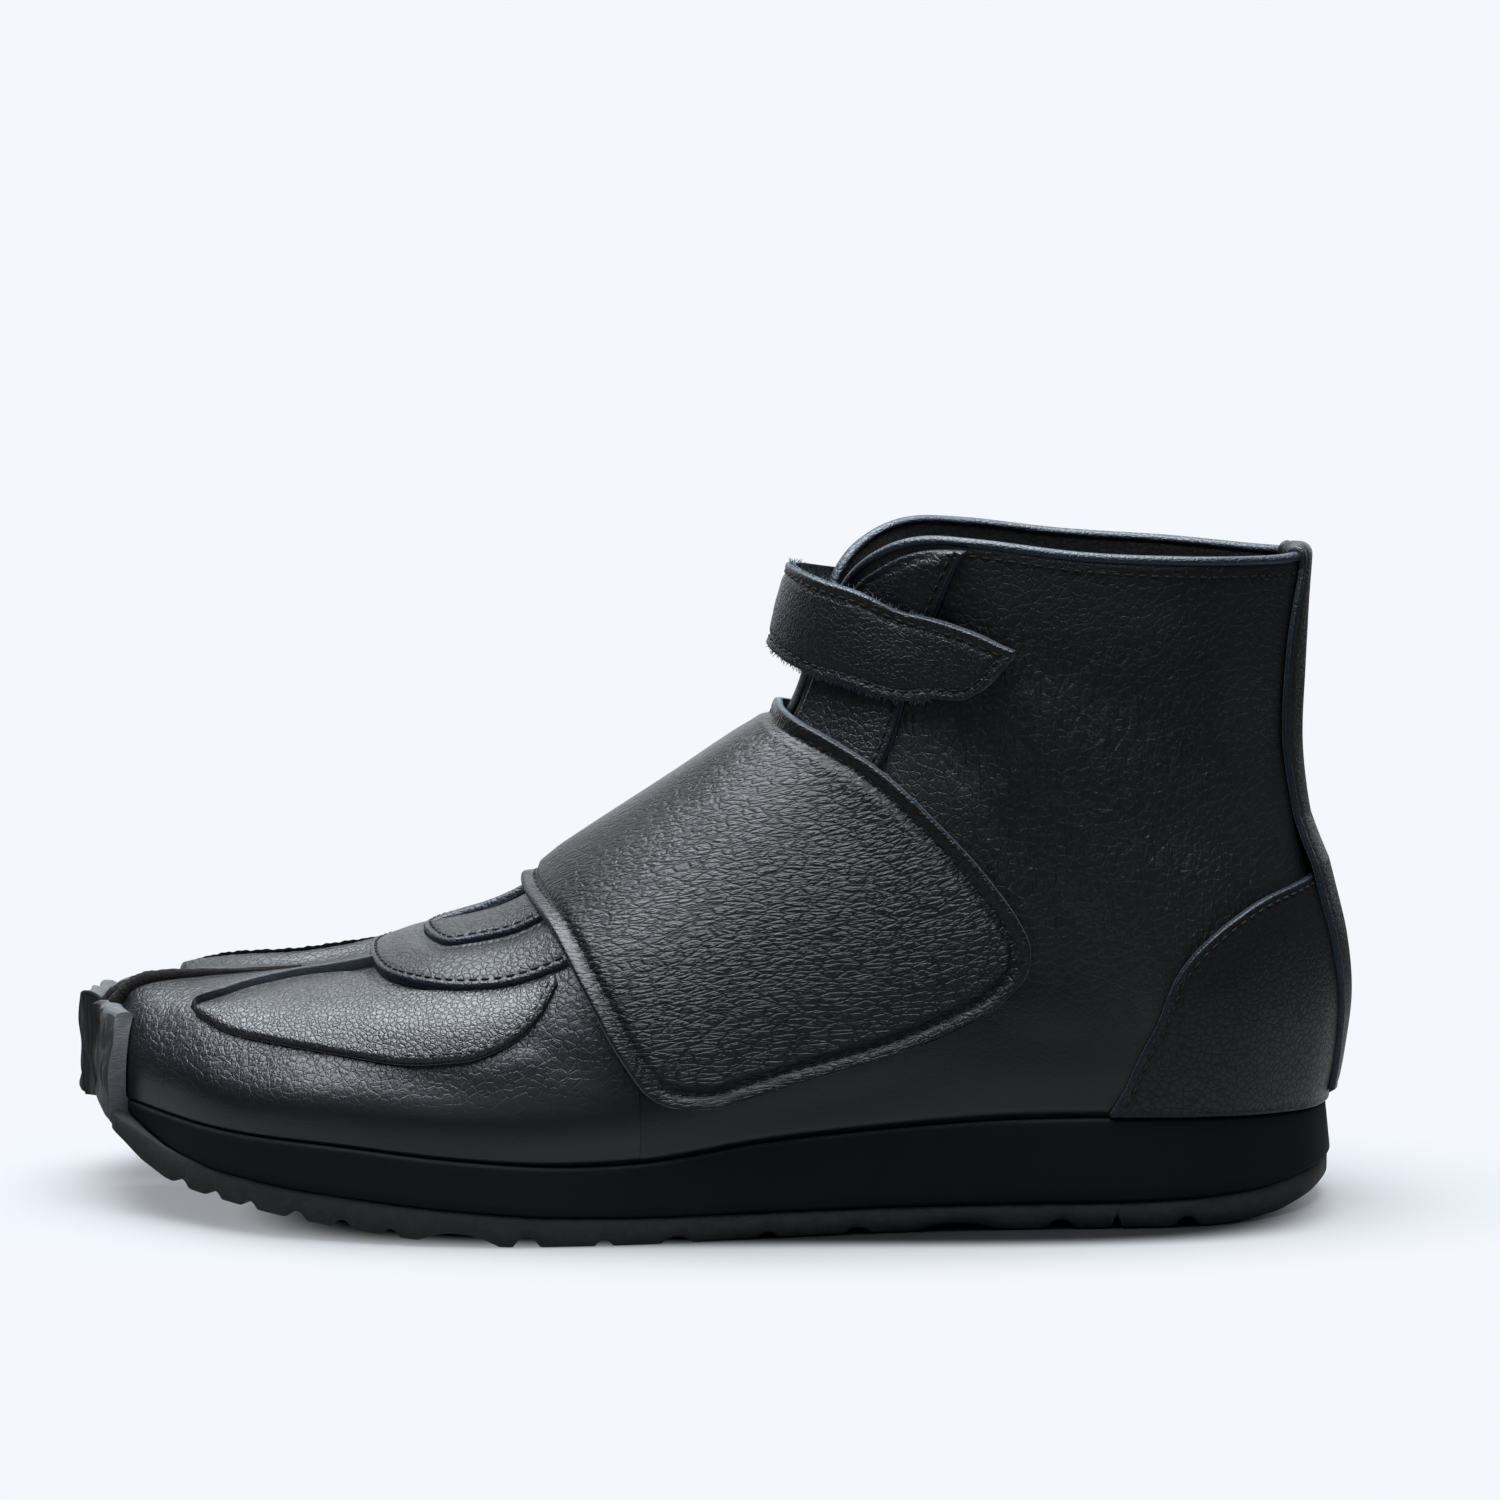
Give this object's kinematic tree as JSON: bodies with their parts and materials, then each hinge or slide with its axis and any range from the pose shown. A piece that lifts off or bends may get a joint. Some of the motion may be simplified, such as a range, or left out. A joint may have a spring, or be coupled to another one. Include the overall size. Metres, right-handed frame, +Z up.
{
  "type": "tabi sneaker",
  "caption": "left split-toe leather high-top sneaker on a foam and rubber runner sole, closed over the instep and the ankle by straps",
  "frame": {"origin": "on the floor, under the middle of the shoe's bounding box", "axes": "X along the shoe, toe at -X and heel at +X; the outer side of the foot at -Y; Z up"},
  "size_m": [0.2956, 0.1024, 0.155],
  "materials": {
    "rubber_sole": "matt worn dark grey",
    "foam_sole": "matt black",
    "lining": "matt dark lining",
    "upper_leather": "black full-grain, soft gloss",
    "strap_leather": "black pebbled grain, soft gloss"
  },
  "bodies": {
    "root": {"outsole": "rubber_sole", "midsole": "foam_sole", "insole": "lining", "upper": "upper_leather", "leaf_panel_lateral": "upper_leather", "leaf_panel_medial": "upper_leather", "facing": "upper_leather", "heel_counter": "upper_leather", "backstay": "upper_leather", "instep_strap": "strap_leather", "ankle_strap": "strap_leather"}
  },
  "joints": []
}
